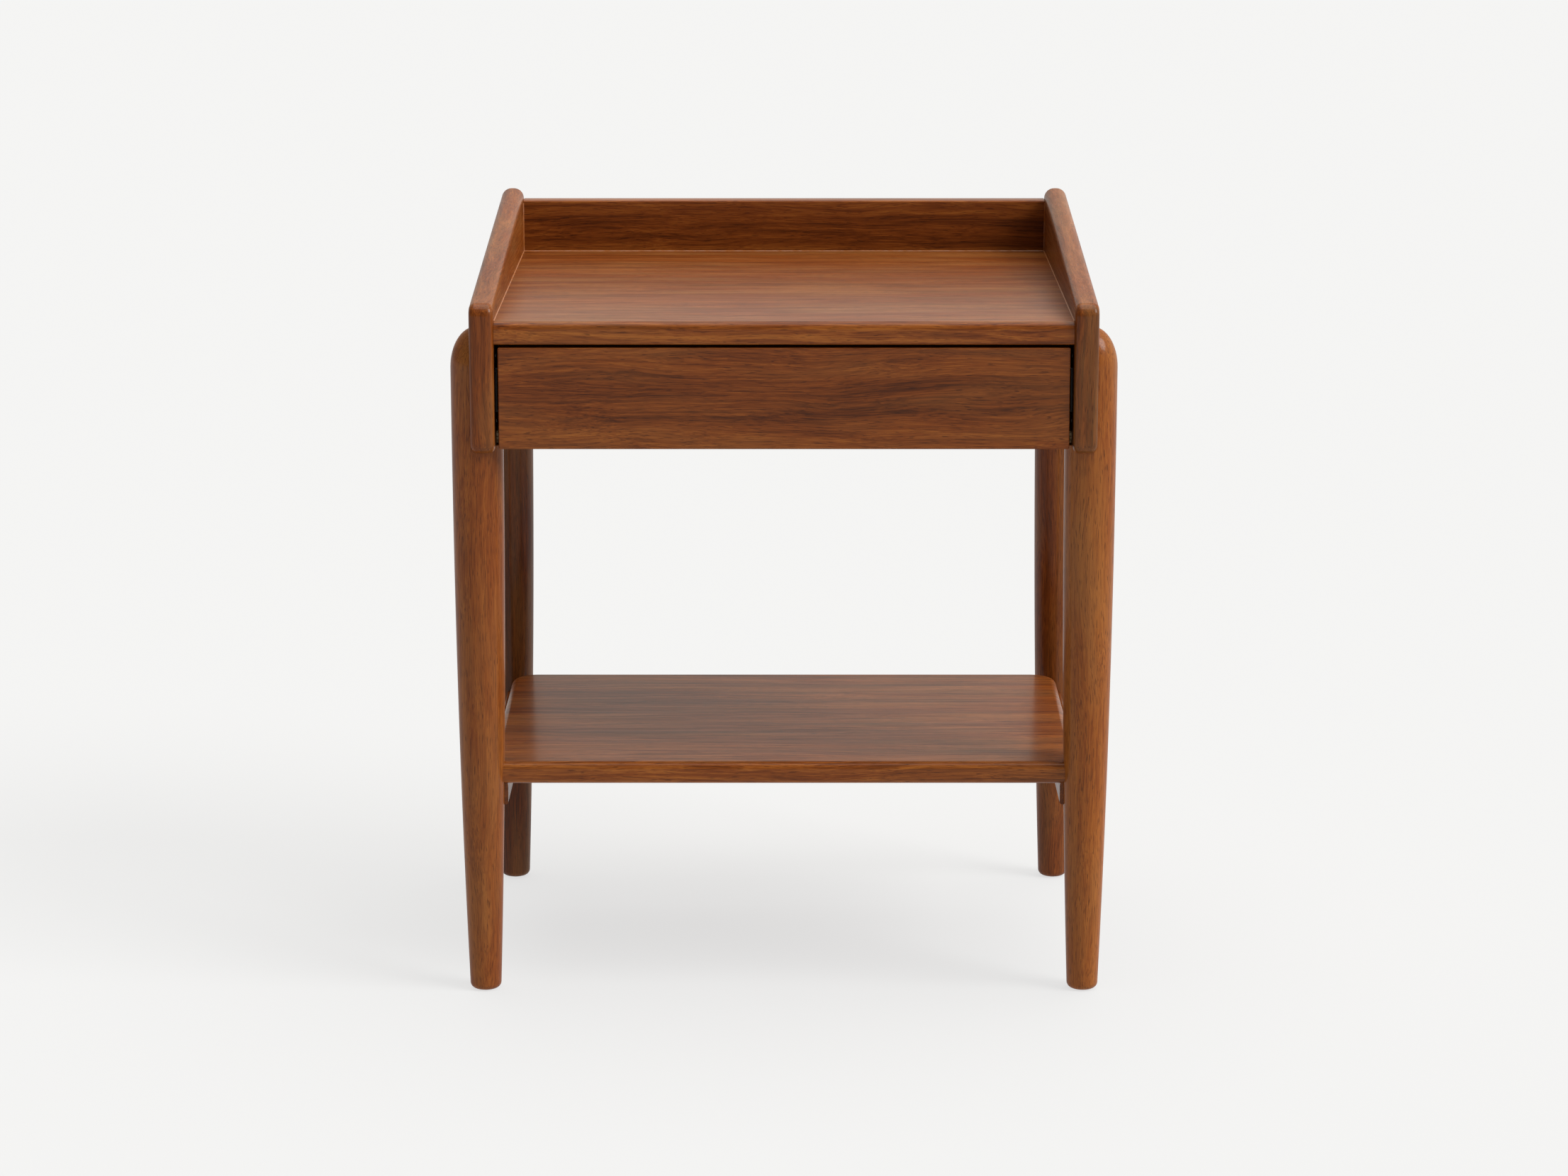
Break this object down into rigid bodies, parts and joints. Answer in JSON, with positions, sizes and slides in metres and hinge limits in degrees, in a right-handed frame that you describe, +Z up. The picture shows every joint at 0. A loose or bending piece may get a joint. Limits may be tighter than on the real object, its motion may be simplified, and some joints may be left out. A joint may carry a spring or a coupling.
{
  "type": "side table with drawer",
  "caption": "Wooden side table on round tapered legs, with a raised gallery tray top, a handle-less inset drawer on ball-bearing slides and a low shelf.",
  "frame": {"origin": "on the floor, under the middle of the table's width and depth", "axes": "+Z up, the drawer opens towards -Y, +X to the right of someone who faces the drawer"},
  "size_m": [0.522, 0.425, 0.6],
  "materials": {
    "walnut_case": "satin lacquered reddish walnut, straight grain",
    "walnut_legs": "satin lacquered reddish walnut, turned, grain along the leg",
    "walnut_drawer": "satin lacquered reddish walnut, straight grain along the width",
    "pale_hardwood": "clear lacquered pale hardwood, dovetailed",
    "birch_ply": "thin birch plywood, sanded and sealed",
    "zinc_steel": "zinc plated sheet steel",
    "dark_felt": "pressed dark felt",
    "black_steel": "sheet steel with a thin black dip coating"
  },
  "bodies": {
    "table": {"left_side_panel": "walnut_case", "right_side_panel": "walnut_case", "tabletop": "walnut_case", "back_board": "walnut_case", "case_bottom": "birch_ply", "front_left_leg": "walnut_legs", "front_right_leg": "walnut_legs", "rear_left_leg": "walnut_legs", "rear_right_leg": "walnut_legs", "shelf": "walnut_case", "left_shelf_rail": "walnut_case", "right_shelf_rail": "walnut_case", "left_slide_cabinet_member": "black_steel", "right_slide_cabinet_member": "black_steel", "cabinet_slide_screws": "zinc_steel", "leg_bolts": "zinc_steel", "leg_inserts": "zinc_steel", "top_dowels": "pale_hardwood", "back_dowels": "pale_hardwood", "rail_dowels": "pale_hardwood", "shelf_screws": "zinc_steel", "foot_pads": "dark_felt"},
    "drawer": {"drawer_face": "walnut_drawer", "drawer_box_front": "pale_hardwood", "drawer_box_back": "pale_hardwood", "drawer_left_side": "pale_hardwood", "drawer_right_side": "pale_hardwood", "drawer_bottom": "birch_ply", "left_slide_drawer_member": "black_steel", "right_slide_drawer_member": "black_steel", "drawer_slide_screws": "zinc_steel", "drawer_face_screws": "zinc_steel"},
    "left_slide_middle": {"left_slide_middle_member": "black_steel"},
    "right_slide_middle": {"right_slide_middle_member": "black_steel"},
    "left_outer_cage": {"left_slide_outer_cage": "zinc_steel"},
    "right_outer_cage": {"right_slide_outer_cage": "zinc_steel"},
    "left_inner_cage": {"left_slide_inner_cage": "zinc_steel"},
    "right_inner_cage": {"right_slide_inner_cage": "zinc_steel"}
  },
  "joints": [
    {"name": "drawer_slide", "type": "slide", "parent": "table", "child": "drawer", "axis": [0, -1, 0], "range_m": [0, 0.33]},
    {"name": "left_middle_run", "type": "slide", "parent": "table", "child": "left_slide_middle", "axis": [0, -1, 0], "range_m": [0, 0.165]},
    {"name": "right_middle_run", "type": "slide", "parent": "table", "child": "right_slide_middle", "axis": [0, -1, 0], "range_m": [0, 0.165]},
    {"name": "left_outer_cage_run", "type": "slide", "parent": "table", "child": "left_outer_cage", "axis": [0, -1, 0], "range_m": [0, 0.0825]},
    {"name": "right_outer_cage_run", "type": "slide", "parent": "table", "child": "right_outer_cage", "axis": [0, -1, 0], "range_m": [0, 0.0825]},
    {"name": "left_inner_cage_run", "type": "slide", "parent": "table", "child": "left_inner_cage", "axis": [0, -1, 0], "range_m": [0, 0.2475]},
    {"name": "right_inner_cage_run", "type": "slide", "parent": "table", "child": "right_inner_cage", "axis": [0, -1, 0], "range_m": [0, 0.2475]}
  ],
  "couplings": [
    {"joint": "left_middle_run", "follows": "drawer_slide", "ratio": 0.5},
    {"joint": "right_middle_run", "follows": "drawer_slide", "ratio": 0.5},
    {"joint": "left_outer_cage_run", "follows": "drawer_slide", "ratio": 0.25},
    {"joint": "right_outer_cage_run", "follows": "drawer_slide", "ratio": 0.25},
    {"joint": "left_inner_cage_run", "follows": "drawer_slide", "ratio": 0.75},
    {"joint": "right_inner_cage_run", "follows": "drawer_slide", "ratio": 0.75}
  ]
}
